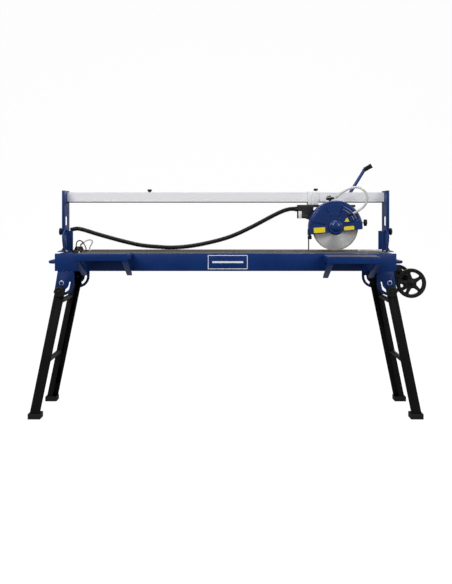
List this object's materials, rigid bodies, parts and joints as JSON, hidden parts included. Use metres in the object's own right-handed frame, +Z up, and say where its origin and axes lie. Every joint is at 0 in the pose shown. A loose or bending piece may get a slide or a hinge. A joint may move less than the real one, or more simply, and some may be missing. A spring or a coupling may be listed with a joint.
{
  "type": "bridge tile cutter",
  "caption": "Bridge tile cutter on folding legs: water tray frame with table, tilting guide rail, sliding saw head with round blade, and transport wheels.",
  "frame": {"origin": "on the floor, under the middle of the machine's bounding box", "axes": "+Z up, +X along the guide rail towards the wheels, +Y from the operator to the back"},
  "size_m": [2.0736, 0.7308, 1.3452],
  "materials": {
    "blue_paint": "satin powder coat",
    "black_paint": "satin powder coat",
    "black_plastic": "moulded",
    "rubber": "ribbed",
    "aluminium": "anodised",
    "steel": "brushed",
    "zinc": "zinc plated",
    "clear_hose": "clear"
  },
  "bodies": {
    "root": {"front_rail": "blue_paint", "rear_rail": "blue_paint", "left_end_plate": "blue_paint", "right_end_plate": "blue_paint", "water_tray": "blue_paint", "drain_plug": "black_plastic", "front_table": "rubber", "rear_table": "rubber", "left_support_table": "blue_paint", "right_support_table": "blue_paint", "wheel_carrier": "black_paint", "left_tower_base": "blue_paint", "right_tower_base": "blue_paint", "water_pump": "black_plastic", "pump_lead": "black_plastic", "pump_hose": "clear_hose", "left_front_leg_bracket": "blue_paint", "left_rear_leg_bracket": "blue_paint", "right_front_leg_bracket": "blue_paint", "right_rear_leg_bracket": "blue_paint"},
    "left_legs": {"left_front_leg": "black_paint", "left_rear_leg": "black_paint", "left_front_foot": "rubber", "left_rear_foot": "rubber", "left_upper_brace": "black_paint", "left_lower_brace": "black_paint"},
    "right_legs": {"right_front_leg": "black_paint", "right_rear_leg": "black_paint", "right_front_foot": "rubber", "right_rear_foot": "rubber", "right_upper_brace": "black_paint", "right_lower_brace": "black_paint"},
    "front_wheel": {"front_wheel": "black_plastic"},
    "rear_wheel": {"rear_wheel": "black_plastic"},
    "bridge": {"left_tower_arm": "blue_paint", "right_tower_arm": "blue_paint", "guide_rail": "aluminium", "cable_conduit": "black_plastic"},
    "rail_stop": {"rail_stop_knob": "black_plastic"},
    "left_tilt_knob": {"left_tilt_knob": "black_plastic"},
    "right_tilt_knob": {"right_tilt_knob": "black_plastic"},
    "carriage": {"carriage_clamp": "aluminium", "carriage_body": "black_paint"},
    "carriage_lock": {"carriage_lock_knob": "black_plastic"},
    "head": {"head_arm": "black_paint", "motor_housing": "black_plastic", "blade_guard": "blue_paint", "splash_flap": "rubber", "feed_lever": "blue_paint", "lever_grip": "rubber", "water_hose": "clear_hose"},
    "blade": {"diamond_blade": "steel", "blade_arbor": "zinc"},
    "water_tap": {"water_tap": "black_plastic"},
    "star_knob": {"guard_star_knob": "black_plastic"},
    "cutting_guide": {"cutting_guide": "aluminium"},
    "left_front_leg_knob": {"left_front_leg_knob": "black_plastic"},
    "left_rear_leg_knob": {"left_rear_leg_knob": "black_plastic"},
    "right_front_leg_knob": {"right_front_leg_knob": "black_plastic"},
    "right_rear_leg_knob": {"right_rear_leg_knob": "black_plastic"}
  },
  "joints": [
    {"name": "left_leg_fold", "type": "hinge", "parent": "root", "child": "left_legs", "pos_m": [-0.86171, 0.09455, 0.7055], "axis": [0, -1, 0], "range_deg": [0, 101.65]},
    {"name": "right_leg_fold", "type": "hinge", "parent": "root", "child": "right_legs", "pos_m": [0.83429, 0.09455, 0.7055], "axis": [0, 1, 0], "range_deg": [0, 101.65]},
    {"name": "left_front_leg_clamp", "type": "hinge", "parent": "left_legs", "child": "left_front_leg_knob", "pos_m": [-0.8708, -0.14795, 0.66143], "axis": [0, -1, 0], "range_deg": [0, 360]},
    {"name": "left_rear_leg_clamp", "type": "hinge", "parent": "left_legs", "child": "left_rear_leg_knob", "pos_m": [-0.8708, 0.33705, 0.66143], "axis": [0, 1, 0], "range_deg": [0, 360]},
    {"name": "right_front_leg_clamp", "type": "hinge", "parent": "right_legs", "child": "right_front_leg_knob", "pos_m": [0.84337, -0.14795, 0.66143], "axis": [0, -1, 0], "range_deg": [0, 360]},
    {"name": "right_rear_leg_clamp", "type": "hinge", "parent": "right_legs", "child": "right_rear_leg_knob", "pos_m": [0.84337, 0.33705, 0.66143], "axis": [0, 1, 0], "range_deg": [0, 360]},
    {"name": "front_wheel_spin", "type": "hinge", "parent": "root", "child": "front_wheel", "pos_m": [0.95929, -0.08545, 0.699], "axis": [0, 1, 0], "continuous": true},
    {"name": "rear_wheel_spin", "type": "hinge", "parent": "root", "child": "rear_wheel", "pos_m": [0.95929, 0.27455, 0.699], "axis": [0, 1, 0], "continuous": true},
    {"name": "bridge_tilt", "type": "hinge", "parent": "root", "child": "bridge", "pos_m": [-0.01371, 0.07455, 0.882], "axis": [1, 0, 0], "range_deg": [0, 45]},
    {"name": "left_tilt_clamp", "type": "hinge", "parent": "bridge", "child": "left_tilt_knob", "pos_m": [-0.88021, 0.07455, 0.967], "axis": [-1, 0, 0], "range_deg": [0, 360]},
    {"name": "right_tilt_clamp", "type": "hinge", "parent": "bridge", "child": "right_tilt_knob", "pos_m": [0.85279, 0.07455, 0.967], "axis": [1, 0, 0], "range_deg": [0, 360]},
    {"name": "rail_stop_slide", "type": "slide", "parent": "bridge", "child": "rail_stop", "axis": [-1, 0, 0], "range_m": [0, 0.38]},
    {"name": "carriage_slide", "type": "slide", "parent": "bridge", "child": "carriage", "axis": [-1, 0, 0], "range_m": [-0.03, 0.85], "deforming": ["cable_conduit"]},
    {"name": "carriage_lock_turn", "type": "hinge", "parent": "carriage", "child": "carriage_lock", "pos_m": [0.48429, 0.15455, 1.181], "axis": [0, 0, 1], "range_deg": [0, 360]},
    {"name": "head_plunge", "type": "hinge", "parent": "carriage", "child": "head", "pos_m": [0.42129, 0.15455, 1.062], "axis": [0, 1, 0], "range_deg": [0, 9]},
    {"name": "blade_spin", "type": "hinge", "parent": "head", "child": "blade", "pos_m": [0.58129, 0.07455, 0.989], "axis": [0, 1, 0], "continuous": true},
    {"name": "water_tap_turn", "type": "hinge", "parent": "head", "child": "water_tap", "pos_m": [0.55229, 0.06655, 1.156], "axis": [0, 0, 1], "range_deg": [0, 90]},
    {"name": "star_knob_turn", "type": "hinge", "parent": "head", "child": "star_knob", "pos_m": [0.72829, 0.07455, 1.016], "axis": [1, 0, 0], "range_deg": [0, 360]},
    {"name": "guide_slide", "type": "slide", "parent": "root", "child": "cutting_guide", "axis": [-1, 0, 0], "range_m": [0, 1.1]}
  ]
}
